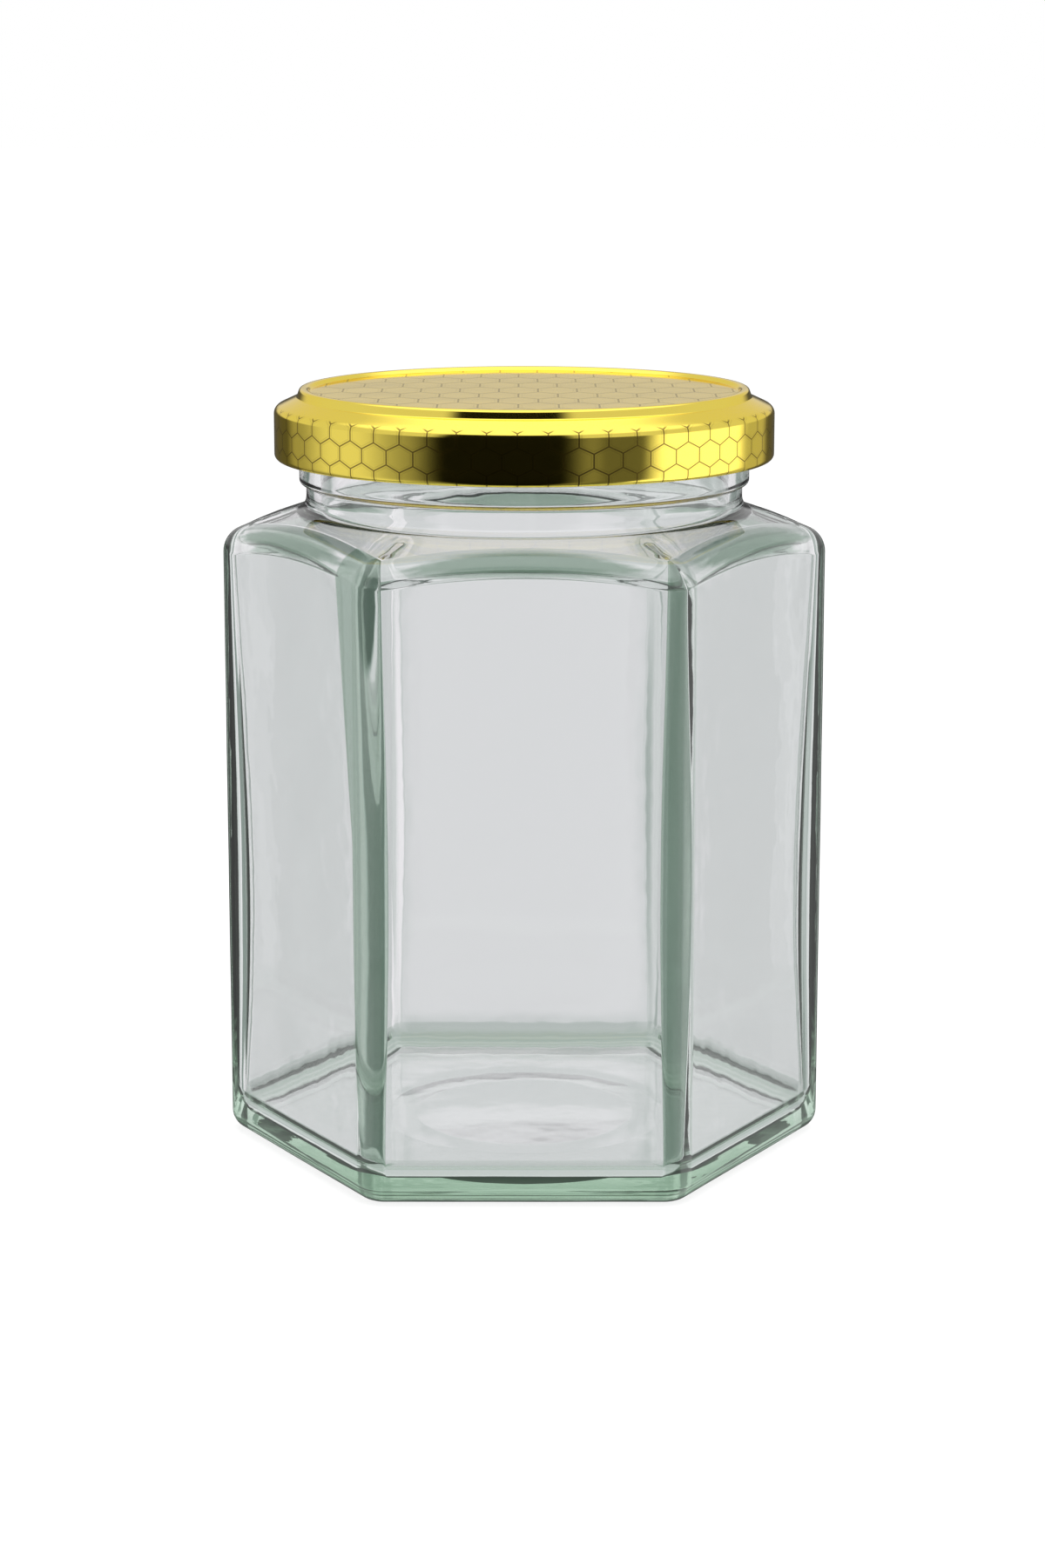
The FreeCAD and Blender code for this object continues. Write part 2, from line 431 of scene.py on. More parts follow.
def underside_stations():
    """From the middle of the shallow push-up over the foot ring to the sides."""
    hollow = [(0.0, push_up_depth), (push_up_radius - push_up_slope, push_up_depth),
              (push_up_radius, 0), (push_up_radius + foot_ring, 0)]
    line = divided(rounded_line(hollow, [0, *push_up_rounds, 0], steps=6), longest=1.5 * MM)
    stations = [ring(radius, height) for radius, height in line]
    inset, corner = apothem - heel_round, corner_round - heel_round
    steps = 8
    for i in range(1, steps + 1):
        stations.append(Station(inset, corner, 0, push_up_radius + foot_ring, 1 - i / steps))
    steps = 10
    for i in range(1, steps + 1):
        t = math.pi / 2 * i / steps
        back = heel_round * (1 - math.sin(t))
        # painted shade in streaks of two strengths round the heel
        shade_streak = heel_shade * (1 + abs(math.sin(heel_beat * i)))
        stations.append(Station(apothem - back, corner_round - back, heel_round * (1 - math.cos(t)),
                                shade_and_glow=(0.0, shade_streak)))
    return stations


print("underside:", len(underside_stations()), "stations")

# %% The sides and the shoulder
cone_end = neck_radius + neck_round * (1 - math.sin(shoulder_slope))
hip_full = 0.3125                # the shares of the way up the cone where the hips are full
hip_fades = 0.7                  # and where they begin to fade
side_shade = 0.5                 # how strong the painted green shade is in the corners outside
shoulder_shade = (0.35, 0.1)     # and on the shoulder's edge, in the corners and all round


def side_stations():
    """Up the flat sides and round the shoulder's edge."""
    stations = []
    turn = math.pi / 2 - shoulder_slope
    side_top = shoulder_height - shoulder_round * math.tan(turn / 2)
    steps = 40
    for i in range(1, steps + 1):
        t = i / steps
        height = heel_round + (side_top - heel_round) * t
        stations.append(Station(apothem, corner_round, height, follow=t,
                                shade_and_glow=(side_shade, 0.0)))
    steps = 10
    for i in range(1, steps + 1):
        t = i / steps
        back = shoulder_round * (1 - math.cos(turn * t))
        height = side_top + shoulder_round * math.sin(turn * t) - rise * back
        stations.append(Station(apothem - back, corner_round - back, height, follow=1, ridge=t / 2,
                                shade_and_glow=shoulder_shade, lens=1 - abs(2 * t - 1)))
    return stations


def hip_strength(t):
    """How strongly the hips show on the way up the cone: half, full, and none at the neck."""
    if t < hip_fades:
        return 0.5 + 0.5 * math.sin(math.pi / 2 * min(t / hip_full, 1.0))
    return (1 - t) / (1 - hip_fades)


def cone_stations(inset, corner):
    """Up the cone of the shoulder, from the hexagon to the circle of the neck."""
    stations = []
    steps = 28
    for i in range(1, steps + 1):
        t = i / steps
        stations.append(Station(inset, corner, shoulder_height, cone_end, t, 1, hip_strength(t)))
    return stations


print(f"cone ends at a radius of {cone_end / MM:.2f} mm, {len(side_stations())} stations on the sides")

# %% The neck and the whole outside
rim_middle = neck_radius - neck_wall / 2


def neck_stations():
    """Up the neck, over the bead and up the threaded finish to the rim."""
    neck_base = shoulder_height + rise * (corner_reach - neck_radius)
    corners = [(cone_end, shoulder_height + rise * (corner_reach - cone_end)),
               (neck_radius, neck_base), (neck_radius, bead_bottom), (bead_radius, bead_bottom),
               (bead_radius, bead_top), (finish_radius, bead_top), (finish_radius, rim_top),
               (rim_middle, rim_top)]
    radii = [0, neck_bend, *bead_rounds, 0, rim_round, 0]
    stations = []
    for radius, height in divided(rounded_line(corners, radii, steps=8), longest=0.4 * MM)[1:-1]:
        on_finish = height > bead_top + thread_margin and radius > finish_radius - hair
        stations.append(ring(radius, height, float(on_finish)))
    return stations


outside = underside_stations() + side_stations()
outside += cone_stations(outside[-1].flat, outside[-1].corner) + neck_stations()
print("outside:", len(outside), "stations")

# %% Down the bore and under the shoulder
flat_inside = apothem - wall
ceiling = shoulder_height - shoulder_wall / math.cos(shoulder_slope)
wall_top = ceiling - shoulder_bend
wall_foot = floor_thickness + floor_bend
cone_start = bore_radius + neck_round * (1 - math.sin(shoulder_slope))
ceiling_shade = 0.15             # painted shade all round the bend under the shoulder
floor_shade = 0.35               # and all round the bend at the floor


def bore_stations():
    """From the rim down the bore to the cone inside the shoulder."""
    bore_foot = ceiling + rise * (corner_reach - bore_radius)
    corners = [(rim_middle, rim_top), (bore_radius, rim_top), (bore_radius, bore_foot),
               (cone_start, ceiling + rise * (corner_reach - cone_start))]
    line = divided(rounded_line(corners, [0, rim_round, neck_bend, 0], steps=8), longest=0.8 * MM)
    return [ring(radius, height) for radius, height in line[1:]]


def ceiling_stations():
    """Down the cone inside the shoulder and round the bend at its edge."""
    stations = []
    uneven = uneven_corners(wall_top)
    down = (0, -shoulder_bend)
    inwards = (shoulder_bend * math.cos(shoulder_slope), shoulder_bend * math.sin(shoulder_slope))
    steps = 24
    for i in range(1, steps + 1):
        stations.append(Station(flat_inside - inwards[0], least_corner, ceiling, cone_start,
                                1 - i / steps, 1, uneven=uneven, bow=inner_bow))
    line = soft_bend(inwards, down, shoulder_bow, steps=12)[1:]
    for i, (back, up) in enumerate(line):
        corner = max(inside_corner(wall_top) - back, least_corner)
        edge = ceiling_shade if i < len(line) - 2 else 0.0
        lens = 1 - abs(2 * i / (len(line) - 1) - 1)
        stations.append(Station(flat_inside - back, corner, ceiling + up - rise * back, follow=1,
                                uneven=uneven, bow=inner_bow, shade_and_glow=(1.0, edge), lens=lens))
    return stations


print(f"wall inside from {wall_foot / MM:.1f} to {wall_top / MM:.1f} mm")

# %% Down the walls and over the floor


def wall_stations():
    """Down the walls inside and round the bend at the floor."""
    stations = []
    steps = 40
    for i in range(1, steps + 1):
        t = i / steps
        height = wall_top + (wall_foot - wall_top) * t
        # full painted shade in the corners inside
        stations.append(Station(flat_inside, inside_corner(height), height, follow=1 - t,
                                uneven=uneven_corners(height), bow=inner_bow, shade_and_glow=(1.0, 0.0)))
    for back, up in soft_bend((0, floor_bend), (floor_bend, 0), floor_bow, steps=12)[1:]:
        corner = max(inside_corner(wall_foot) - back, least_corner)
        edge = floor_shade if back < floor_bend else 0.0
        stations.append(Station(flat_inside - back, corner, floor_thickness + up,
                                uneven=uneven_corners(wall_foot), bow=inner_bow, shade_and_glow=(1.0, edge)))
    return stations


def floor_stations():
    """Over the floor to its middle, which is a low dome."""
    stations = []
    uneven = uneven_corners(wall_foot)
    steps = 10
    for i in range(1, steps + 1):
        stations.append(Station(flat_inside - floor_bend, least_corner, floor_thickness, push_up_radius,
                                i / steps, uneven=uneven, bow=inner_bow))
    steps = 12
    for i in range(1, steps + 1):
        t = i / steps
        dome = floor_dome * math.sin(math.pi / 2 * t)
        stations.append(ring(push_up_radius * (1 - t), floor_thickness + dome))
    return stations


inside = bore_stations() + ceiling_stations() + wall_stations() + floor_stations()
glass_stations = outside + inside
print("inside:", len(inside), "stations")

# %% [markdown]
# ## Rings by Geometry Nodes
# The stations become the points of a small mesh, with their numbers stored as attributes.  The
# tree lays out a flat grid with a row for each station and a column for each step round the jar,
# reads the numbers that belong to each row, works out where a grid point belongs and moves it
# there.  Python could place every point too, but in a tree the sizes are named inputs, and each
# part of the shape is one formula.

# %% Objects and trees


def new_object(name, data):
    """An object that is linked to the scene."""
    holder = bpy.data.objects.new(name, data)
    bpy.context.scene.collection.objects.link(holder)
    return holder


def new_tree(name, inputs):
    """A geometry tree with named inputs; its first input comes back as a Wire."""
    tree = bpy.data.node_groups.new(name, "GeometryNodeTree")
    tree.interface.new_socket("Geometry", in_out="OUTPUT", socket_type="NodeSocketGeometry")
    for title, kind in inputs.items():
        tree.interface.new_socket(title, in_out="INPUT", socket_type="NodeSocket" + kind)
    return tree, make(tree, "NodeGroupInput", output=next(iter(inputs)))


def end_tree(geometry, finish):
    """Make copies real, set the material and hand the geometry over."""
    tree = geometry.tree
    real = make(tree, "GeometryNodeRealizeInstances", None, (geometry,))
    finished = make(tree, "GeometryNodeSetMaterial", None, {"Geometry": real, "Material": finish})
    out = tree.nodes.new("NodeGroupOutput")
    tree.links.new(finished.socket, out.inputs[0])


def apply_nodes(holder, tree, values):
    """Run a geometry tree on an object and keep the result as a plain mesh."""
    modifier = holder.modifiers.new("shape", "NODES")
    modifier.node_group = tree
    for item in tree.interface.items_tree:
        if item.in_out == "INPUT" and item.name in values:
            modifier[item.identifier] = values[item.name]
    bpy.context.view_layer.update()
    seen = holder.evaluated_get(bpy.context.evaluated_depsgraph_get())
    mesh = bpy.data.meshes.new_from_object(seen)
    holder.modifiers.remove(modifier)
    old = holder.data
    holder.data = mesh
    bpy.data.meshes.remove(old)
    mesh.name = holder.name


# %% The grid and its numbers


def ring_grid(stations):
    """A flat grid, the number of its columns, and the column and row of each of its points."""
    tree = stations.tree
    rows = make(tree, "GeometryNodeAttributeDomainSize", None, (stations,), "Point Count")
    columns = (stations.other("Flat steps") + stations.other("Corner steps")) * 6
    grid = make(tree, "GeometryNodeMeshGrid", None, (columns, rows - 1, columns + 1, rows), "Mesh")
    here_x, here_y, _ = xyz(make(tree, "GeometryNodeInputPosition"))
    column = (here_x + columns * 0.5).math("ROUND")
    row = (here_y + (rows - 1) * 0.5).math("ROUND")
    return grid, columns, column, row


def station_value(stations, row, name):
    """Three numbers of the station that a row belongs to."""
    settings = {"data_type": "FLOAT_VECTOR"}
    value = make(stations.tree, "GeometryNodeInputNamedAttribute", settings, (name,))
    inputs = {"Geometry": stations, "Value": value, "Index": row}
    return xyz(make(stations.tree, "GeometryNodeSampleIndex", settings, inputs))


# %% [markdown]
# ## A hexagon with soft corners
# Going round, every column is either on the bend of a corner or on a flat side.  A bend starts on
# one flank of the sharp corner and ends on the other, and its two ends can be at different
# distances from it, which is how the glass inside gathers more on one side than on the other.
# An even bend with the right bow is an exact arc, so the outside uses the same formula.

# %% Round the hexagon
TAN30 = math.tan(math.radians(30))
SIXTH = math.radians(60)
SAME_WAY = 0.9                   # a cosine above this: two of the six ways are the same
least_bend = 0.1 * MM


class Walk:
    """How far a column is on its way round: on the bend of a corner, then along a flat side."""

    def __init__(self, stations, column):
        flat_steps, corner_steps = stations.other("Flat steps"), stations.other("Corner steps")
        per_side = flat_steps + corner_steps
        side = (column / per_side).math("FLOOR")
        step = column - side * per_side
        self.turned = (step / corner_steps).math("MINIMUM", 1.0)               # 0 to 1
        self.along = ((step - corner_steps) / flat_steps).math("MAXIMUM", 0.0)  # 0 to 1
        self.corner_way = side * SIXTH                   # from the axis to the sharp corner
        self.back_way = self.corner_way - 2 * SIXTH      # from the corner back along one flank
        self.run_way = self.corner_way + 2 * SIXTH       # and on along the other


def bend_length(corner_way, flank, radius, extra):
    """From a sharp corner to where its bend ends on one of its two flanks."""
    at_side = abs(corner_way.math("COSINE")) > SAME_WAY
    on_front = abs(flank.math("COSINE")) > SAME_WAY
    at_wedge_corner = (corner_way + 2 * SIXTH).math("COSINE") > SAME_WAY
    on_wedge_flank = (flank - 2 * SIXTH).math("COSINE") > SAME_WAY
    along_side = (1 - at_side) * (1 - on_front)
    more = extra[0] * at_side + extra[1] * (at_wedge_corner * on_wedge_flank) + extra[2] * along_side
    return (radius * TAN30 + more).math("MAXIMUM", least_bend)


def soft_hexagon(walk, flat, corner, extra, bow):
    """X and Y of a hexagon with each corner bent between the ends of its two flanks."""
    before = bend_length(walk.corner_way, walk.back_way, corner, extra)
    after = bend_length(walk.corner_way, walk.run_way, corner, extra)
    beyond = bend_length(walk.corner_way + SIXTH, walk.run_way + 3 * SIXTH, corner, extra)
    start = (1 - walk.turned) * (1 - walk.turned)
    end = walk.turned * walk.turned
    whole = start + end + 2 * bow * walk.turned * (1 - walk.turned)
    reach = flat / COS30
    run = end / whole * after + walk.along * (reach - after - beyond)
    back = start / whole * before
    ways = (walk.corner_way, walk.back_way, walk.run_way)
    cosines = [way.math("COSINE") for way in ways]
    sines = [way.math("SINE") for way in ways]
    x = reach * cosines[0] + back * cosines[1] + run * cosines[2]
    y = reach * sines[0] + back * sines[1] + run * sines[2]
    return x, y


def round_way(stations, walk, share):
    """The way of a column on a circle: even steps, or the way the hexagon's outside has it."""
    even = (0.0, 0.0, 0.0)
    flat, corner = stations.other("Apothem"), stations.other("Corner radius")
    x, y = soft_hexagon(walk, flat, corner, even, COS30)
    return blend(stations.other("Even turns"), y.math("ARCTAN2", x), share * (2 * math.pi))


print(f"an even outside bend starts {corner_round * TAN30 / MM:.2f} mm from the sharp corner")

# %% [markdown]
# ## Hips, thread and waves
# Three things are added to the plain rings.  Low ridges, the hips, run from the corners up the
# shoulder.  The thread is four short ridges that climb a little and fade at both ends.  And glass
# is never quite flat, so a slow random field sways its faces by a tenth of a millimetre.

# %% Hips, thread and waves
hip_height = 0.28 * MM
hip_width = 1.5 * MM
waves_per_metre = 60.0
thread_fullness = 0.6            # the power that makes the thread's section round rather than sharp
thread_fade = 0.8                # the share of its half arc where it starts to fade


def hips(stations, ridge, x, y):
    """How much higher the shoulder is on and near the line from a corner to the neck."""
    radius = (x * x + y * y) ** 0.5
    off_hip = radius * (y.math("ARCTAN2", x) * 3).math("SINE") / (3 * stations.other("Hip width"))
    return ridge * stations.other("Hip height") * (-1 * off_hip * off_hip).math("EXPONENT")


def thread_swell(stations, thread, x, y, z):
    """How many times wider a ring is where the thread stands out."""
    radius = (x * x + y * y) ** 0.5
    quarter = 2 * math.pi / stations.other("Thread starts")
    from_start = (y.math("ARCTAN2", x) + quarter / 2).math("FLOORED_MODULO", quarter) - quarter / 2
    climb = radius * from_start.math("SINE") * stations.other("Thread lead").math("TANGENT")
    off_thread = (z - stations.other("Thread middle") - climb) / stations.other("Thread half width")
    hump = (1 - off_thread * off_thread).math("MAXIMUM", 0.0) ** thread_fullness
    ends = 1 - ramp_up(abs(from_start) / stations.other("Thread half arc"), thread_fade, 1.0)
    return 1 + thread * stations.other("Thread reach") * hump * ends / radius.math("MAXIMUM", 1 * MM)


def slow_waves(stations, place):
    """A small sway to any side."""
    tree = stations.tree
    values = {"Vector": place, "Scale": stations.other("Waves per metre"), "Detail": 1.0}
    field = make(tree, "ShaderNodeTexNoise", {"noise_dimensions": "3D"}, values, "Color")
    sway = make(tree, "ShaderNodeVectorMath", {"operation": "SUBTRACT"}, (field, (0.5, 0.5, 0.5)))
    values = {"Vector": sway, "Scale": stations.other("Wave height")}
    return make(tree, "ShaderNodeVectorMath", {"operation": "SCALE"}, values)


print(f"hips {hip_height / MM:.2f} mm high, {thread_starts} thread starts {thread_reach / MM:.1f} mm deep")

# %% [markdown]
# ## Painted shade and glow where the glass looks thick
# A wall looks pale where light crosses it and green where light runs along inside it.  That is in
# the corners, round the heel and in a strip along the shoulder's edge that is broadest in the
# middle of each flat side, like a lens.  There the glass gets a painted dark green shade and a
# painted glow, on top of its real green.  A number from 0 to 1 is stored on the mesh for the
# material to read, because a material can't tell how far light has run.

# %% Painted shade and glow where the glass looks thick
paler_behind = 0.85              # how much weaker the painted shade is in the two corners behind, seen through the front
paler_aside = 0.55               # and in those at the two sides
# how strong the painted shade is in the strip along the shoulder's edge
strip_shade = 0.9
strip_fullness = 0.6             # the power that keeps the strip broad along most of a flat side
strip_edge = (0.25, 0.45)


def painted_shade_and_glow(walk, mix, in_corners, all_round, lens):
    """0 where no shade is painted and 1 where the glass gets its full painted green shade and glow."""
    in_bend = (walk.turned > 0.01) * (walk.turned < 0.99)
    behind = walk.corner_way.math("SINE") > 0.5
    aside = abs(walk.corner_way.math("COSINE")) > SAME_WAY
    bends = in_corners * in_bend * (1 - paler_behind * behind) * (1 - paler_aside * aside) * (1 - mix)
    middle_of_flat = (walk.along * math.pi).math("SINE").math("MAXIMUM", 0.0)
    strip = strip_shade * ramp_up(lens + middle_of_flat ** strip_fullness - 1, *strip_edge)
    return bends.math("MAXIMUM", all_round).math("MAXIMUM", strip)


# %% The whole tree
LOFT_INPUTS = {
    "Stations": "Geometry", "Flat steps": "Int", "Corner steps": "Int", "Even turns": "Float",
    "Apothem": "Float", "Corner radius": "Float", "Corner reach": "Float", "Cone rise": "Float",
    "Hip height": "Float", "Hip width": "Float", "Thread reach": "Float", "Thread half width": "Float",
    "Thread middle": "Float", "Thread lead": "Float", "Thread half arc": "Float",
    "Thread starts": "Float", "Wave height": "Float", "Waves per metre": "Float", "Finish": "Material",
}
weld = 0.001 * MM


def loft_tree():
    """From stations to rings, joined into one skin."""
    tree, stations = new_tree("ring loft", LOFT_INPUTS)
    grid, columns, column, row = ring_grid(stations)
    walk = Walk(stations, column)
    flat, corner, height = station_value(stations, row, "section")
    circle, mix, follow = station_value(stations, row, "blend")
    ridge, thread, bow = station_value(stations, row, "detail")

    x, y = soft_hexagon(walk, flat, corner, station_value(stations, row, "uneven"), bow)
    way = round_way(stations, walk, column / columns)
    x = blend(mix, x, circle * way.math("COSINE"))
    y = blend(mix, y, circle * way.math("SINE"))
    short_of_corner = stations.other("Corner reach") - (x * x + y * y) ** 0.5
    z = height + follow * stations.other("Cone rise") * short_of_corner
    z = z + hips(stations, ridge, x, y)
    swell = thread_swell(stations, thread, x, y, z)
    place = vector_of(x * swell, y * swell, z)

    # painted green shade and glow, stored on the mesh for the glass material
    shade_and_glow = painted_shade_and_glow(walk, mix, *station_value(stations, row, "thickness"))
    settings = {"data_type": "FLOAT", "domain": "POINT"}
    values = {"Geometry": grid, "Name": "shade_and_glow", "Value": shade_and_glow}
    marked = make(tree, "GeometryNodeStoreNamedAttribute", settings, values)
    values = {"Geometry": marked, "Position": place, "Offset": slow_waves(stations, place)}
    moved = make(tree, "GeometryNodeSetPosition", None, values)
    welded = make(tree, "GeometryNodeMergeByDistance", None, {"Geometry": moved, "Distance": weld})
    smooth = make(tree, "GeometryNodeSetShadeSmooth", None, {"Geometry": welded})
    end_tree(smooth, stations.other("Finish"))
    return tree


ring_loft = loft_tree()
print("ring loft:", len(ring_loft.nodes), "nodes")

# %% A piece made of rings
flat_steps = 20
corner_steps = 16


def loft(name, stations, material, even_turns=0.0, wave_height=0.0):
    """A piece made of rings, one for each station."""
    mesh = bpy.data.meshes.new(name)
    mesh.from_pydata([(0, 0, s.height) for s in stations], [], [])
    columns = {
        "section": [(s.flat, s.corner, s.height) for s in stations],
        "blend": [(s.circle, s.mix, s.follow) for s in stations],
        "detail": [(s.ridge, s.thread, s.bow) for s in stations],
        "uneven": [s.uneven for s in stations],
        # weights of the painted shade and glow, and where the painted strip is
        "thickness": [(*s.shade_and_glow, s.lens) for s in stations],
    }
    for attribute, rows in columns.items():
        data = mesh.attributes.new(attribute, "FLOAT_VECTOR", "POINT").data
        data.foreach_set("vector", [number for entry in rows for number in entry])
    piece = new_object(name, mesh)
    apply_nodes(piece, ring_loft, {
        "Flat steps": flat_steps, "Corner steps": corner_steps, "Even turns": even_turns,
        "Apothem": apothem, "Corner radius": corner_round, "Corner reach": corner_reach,
        "Cone rise": rise, "Hip height": hip_height, "Hip width": hip_width,
        "Thread reach": thread_reach, "Thread half width": thread_half,
        "Thread middle": thread_middle, "Thread lead": thread_lead,
        "Thread half arc": thread_half_arc, "Thread starts": float(thread_starts),
        "Wave height": wave_height, "Waves per metre": waves_per_metre, "Finish": material,
    })
    print(name, len(piece.data.polygons), "faces")
    return piece


# %% [markdown]
# ## Glass
# Glass is drawn by what it bends and what it swallows.  The surface only bends light; the green
# comes from inside the wall, where red and blue are taken away a little with every millimetre.
# Light that runs along inside the wall would need many more bounces than a renderer follows, so
# where the glass looks thick its surface is painted with a dark green shade too, and a faint
# painted glow stands for the light that has been led there.  The painted glow is weaker above
# the heel, so that the upright corners stay a quiet green.

# %% Glass material
CLEAR = (1, 1, 1, 1)
# the dark green of the painted shade, partly the real green of thick glass
GREEN_SHADE_TINT = (0.22, 0.325, 0.25, 1)
NO_LIGHT = (0, 0, 0, 1)
# the colour of a painted glow, for light led along inside the wall
PAINTED_GLOW = (0.075, 0.092, 0.080, 1)
cords_per_metre = 45.0           # broad, soft waves
dimples_per_metre = 260.0        # and small ones, much lower
heel_glow = (3 * MM, 6 * MM)     # heights between which the painted glow gets weaker
wall_glow = 0.3                  # and what is left of it above


def new_material(name):
    material = bpy.data.materials.new(name)
    material.use_nodes = True
    material.node_tree.nodes.clear()
    return material, material.node_tree


def finish_material(tree, surface, volume=None):
    out = tree.nodes.new("ShaderNodeOutputMaterial")
    tree.links.new(surface.socket, out.inputs["Surface"])
    if volume is not None:
        tree.links.new(volume.socket, out.inputs["Volume"])


def glass_material():
    material, tree = new_material("green white glass")
    place = make(tree, "ShaderNodeTexCoord", output="Object")
    ripples = noise(place, cords_per_metre) + noise(place, dimples_per_metre) * 0.1
    values = {"Strength": 0.25, "Distance": 0.6 * MM, "Height": ripples}
    bump = make(tree, "ShaderNodeBump", None, values)
    shade_and_glow = make(tree, "ShaderNodeAttribute", {"attribute_name": "shade_and_glow"}, output="Fac")
    height = xyz(place)[2]
    # painted glow where the glass looks thick, weaker above the heel
    glow_share = shade_and_glow ** 0.5 * blend(1 - ramp_up(height, *heel_glow), wall_glow, 1.0)
    values = {"Base Color": blend_colours(shade_and_glow, CLEAR, GREEN_SHADE_TINT), "Roughness": 0.0, "IOR": 1.52,
              "Emission Color": blend_colours(glow_share, NO_LIGHT, PAINTED_GLOW), "Emission Strength": 1.0,
              "Transmission Weight": 1.0, "Normal": bump}
    surface = make(tree, "ShaderNodeBsdfPrincipled", None, values)
    values = {"Color": (0.0, 0.5, 0.1, 1), "Density": 9.0}
    volume = make(tree, "ShaderNodeVolumeAbsorption", None, values)
    finish_material(tree, surface, volume)
    return material


clear_glass = glass_material()
print("glass material:", len(clear_glass.node_tree.nodes), "nodes")

# %% The glass
glass = loft("jar_glass", glass_stations, clear_glass, wave_height=0.10 * MM)
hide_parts("glass_jar")
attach(glass, "root")

# %% [markdown]
# ## The lid
# The lid is one sheet.  Its middle panel is sunk a little, a raised ring runs around it over the
# glass rim, then comes a step and a sloping shoulder, and the skirt ends in a rolled edge.  The
# sheet's middle line is drawn once, given its thickness on both sides, and spun with even turns.

# %% Lid sheet


def sheet_outline(line, thickness):
    """The closed outline of a sheet along a line of points."""
    left, right = [], []
    for i, (r, z) in enumerate(line):
        before, after = line[max(i - 1, 0)], line[min(i + 1, len(line) - 1)]
        dr, dz = after[0] - before[0], after[1] - before[1]
        length = math.hypot(dr, dz)
        nr, nz = -dz / length * thickness / 2, dr / length * thickness / 2
        left.append((max(r + nr, 0.0), z + nz))
        right.append((max(r - nr, 0.0), z - nz))
    return right + left[::-1]


def lid_line():
    """Middle line of the sheet from the lid's centre to the end of the rolled edge."""
    top = lid_top - plate / 2
    side = lid_radius - plate / 2
    corners = [(0, top - lid_panel_drop), (lid_panel_radius, top - lid_panel_drop),
               (ridge_inner, top), (ridge_outer, top),
               (ridge_outer + lid_ridge_flank, top - lid_step_drop), (side, top - lid_skirt_drop),
               (side, lid_bottom + curl_radius)]
    radii = [0, *[lid_press_round] * 4, lid_skirt_round, 0]
    line = divided(rounded_line(corners, radii, steps=7), longest=0.9 * MM)
    curl = curl_radius - plate / 2
    centre = (side - curl, lid_bottom + curl_radius)
    return line + arc_points(centre, curl, 0, -curl_turn, steps=22)[1:]


lid_outline = sheet_outline(lid_line(), plate)
print("lid outline:", len(lid_outline), "points")

# %% [markdown]
# ## Printed honeycomb
# The gold lacquer carries a honeycomb of fine dark lines.  A honeycomb is two grids of points,
# one shifted by half a cell, and every spot belongs to the nearest point of either.  The distance
# to the cell's edge then gives a line of any width.  On the skirt the grid runs around the
# circle, with a whole number of cells; on the top it lies flat, with larger and longer cells.

# %% Honeycomb
faint = 0.22                     # how dark the second line is beside the main one


def nearest_cell(u, v):
    """Offsets from the nearest honeycomb centre, for cells that are 1 wide and stand on a point."""
    tall = math.sqrt(3)
    au = u.math("FLOORED_MODULO", 1.0) - 0.5
    av = v.math("FLOORED_MODULO", tall) - tall / 2
    bu = (u + 0.5).math("FLOORED_MODULO", 1.0) - 0.5
    bv = (v + tall / 2).math("FLOORED_MODULO", tall) - tall / 2
    second = (bu * bu + bv * bv) < (au * au + av * av)
    return blend(second, au, bu), blend(second, av, bv)


def honeycomb(u, v, width, line, inner):
    """1 on the lines between cells, and a faint second line just inside them."""
    cu, cv = nearest_cell(u / width, v / width)
    edge = 0.5 - abs(cu).math("MAXIMUM", abs(cu) * 0.5 + abs(cv) * COS30)
    main = 1 - ramp_up(edge * width, 0.3 * line, 0.75 * line)
    echo = (edge * width - inner) / (0.4 * line)
    return (main + faint * (-1 * echo * echo).math("EXPONENT")).math("MINIMUM", 1.0)


# %% Print on the lid
skirt_cells = 54
skirt_cell = 4.0 * MM
skirt_start = math.radians(1.5)
skirt_row = lid_bottom + 3.35 * MM       # the height of a row of cells
skirt_squash = 0.80
skirt_lines = (0.20 * MM, 0.36 * MM)     # width of a line, and how far inside the faint one is
skirt_edge = (lid_radius - 0.8 * MM, lid_radius - 0.3 * MM)
top_cell = 5.4 * MM
top_shift = 0.8 * MM
top_stretch = 1.5
top_lines = (0.24 * MM, 0.5 * MM)
top_edge = (lid_panel_radius - 0.3 * MM, lid_panel_radius)


def lid_print(place):
    """1 where the lid is printed dark."""
    x, y, z = xyz(place)
    radius = (x * x + y * y) ** 0.5
    around = (y.math("ARCTAN2", x) + skirt_start) * (skirt_cells * skirt_cell / (2 * math.pi))
    up = (z - skirt_row) / skirt_squash + skirt_cell * math.sqrt(3) / 2
    on_skirt = honeycomb(around, up, skirt_cell, *skirt_lines)
    on_top = honeycomb(x + top_shift, y / top_stretch, top_cell, *top_lines)
    return on_skirt * ramp_up(radius, *skirt_edge) + on_top * (1 - ramp_up(radius, *top_edge))


print(f"{skirt_cells} cells round the skirt, {2 * math.pi * lid_radius / skirt_cells / MM:.2f} mm each")

# %% [markdown]
# ## Gold lacquer
# Gold tinplate is bright steel under a clear yellow lacquer.  It could be two layers, a mirror
# and a yellow film; one metal in the lacquer's colour with a thin clear coat looks the same and
# is simpler.  Metals turn white where they are seen at a flat angle, so that edge colour is set
# to a pale gold, and the printed lines are a little duller than the gold around them.

# %% Lid material
LINE = (0.20, 0.13, 0.02, 1)
GOLD = (1.0, 0.80, 0.12, 1)
EDGE_GOLD = (1.0, 0.86, 0.42, 1)
sags_per_metre = 90.0            # where the sheet isn't quite flat
grains_per_metre = 900.0         # and the lacquer's own grain


